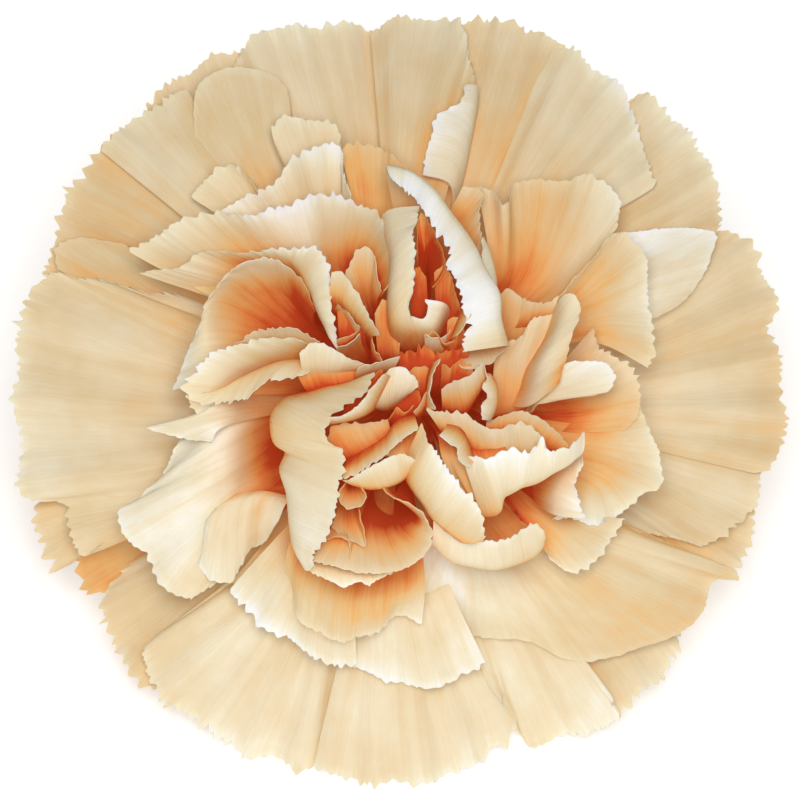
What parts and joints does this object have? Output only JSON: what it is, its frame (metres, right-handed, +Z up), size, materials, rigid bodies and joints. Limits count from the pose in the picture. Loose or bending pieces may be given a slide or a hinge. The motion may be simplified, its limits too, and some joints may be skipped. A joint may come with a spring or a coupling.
{
  "type": "cut carnation",
  "caption": "Double cream and apricot flower head with toothed petals on a ribbed green calyx and a short cut stem, lying face up.",
  "frame": {"origin": "on the surface it lies on, below the middle of its bounding box", "axes": "+Z up; the flower faces up and towards -Y, leaning about 36 degrees from upright; +X to the viewer's right"},
  "size_m": [0.0788, 0.0624, 0.0564],
  "materials": {
    "petals": "matte, slightly translucent",
    "calyx": "satin, waxy bloom",
    "bracts": "satin, waxy bloom",
    "stem": "satin, waxy bloom"
  },
  "bodies": {
    "root": {"corolla": "petals", "calyx": "calyx", "epicalyx": "bracts", "stem": "stem"}
  },
  "joints": []
}
